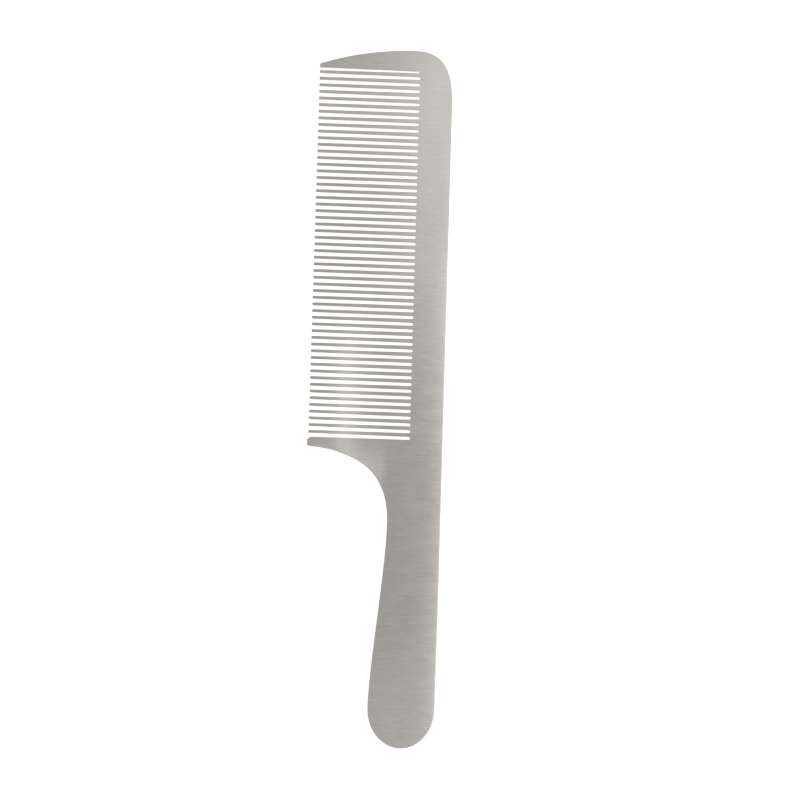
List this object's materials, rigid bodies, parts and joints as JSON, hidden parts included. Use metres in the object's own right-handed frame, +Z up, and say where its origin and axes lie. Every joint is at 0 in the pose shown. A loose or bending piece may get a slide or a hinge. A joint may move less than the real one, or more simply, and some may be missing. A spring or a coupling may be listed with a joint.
{
  "type": "hair comb",
  "caption": "Flat metal cutting comb with a rounded handle, fine parallel teeth, a stout guard tooth at each end and a curved finger recess.",
  "frame": {"origin": "centre of the comb's bounding box, on its underside", "axes": "+Z up, comb lying flat on its underside; +Y from the handle towards the comb head; the teeth point to -X and the straight spine edge is on the +X side"},
  "size_m": [0.0426, 0.2196, 0.001],
  "materials": {
    "brushed_steel": "brushed across the comb, edges lightly deburred"
  },
  "bodies": {
    "root": {"comb_plate": "brushed_steel"}
  },
  "joints": []
}
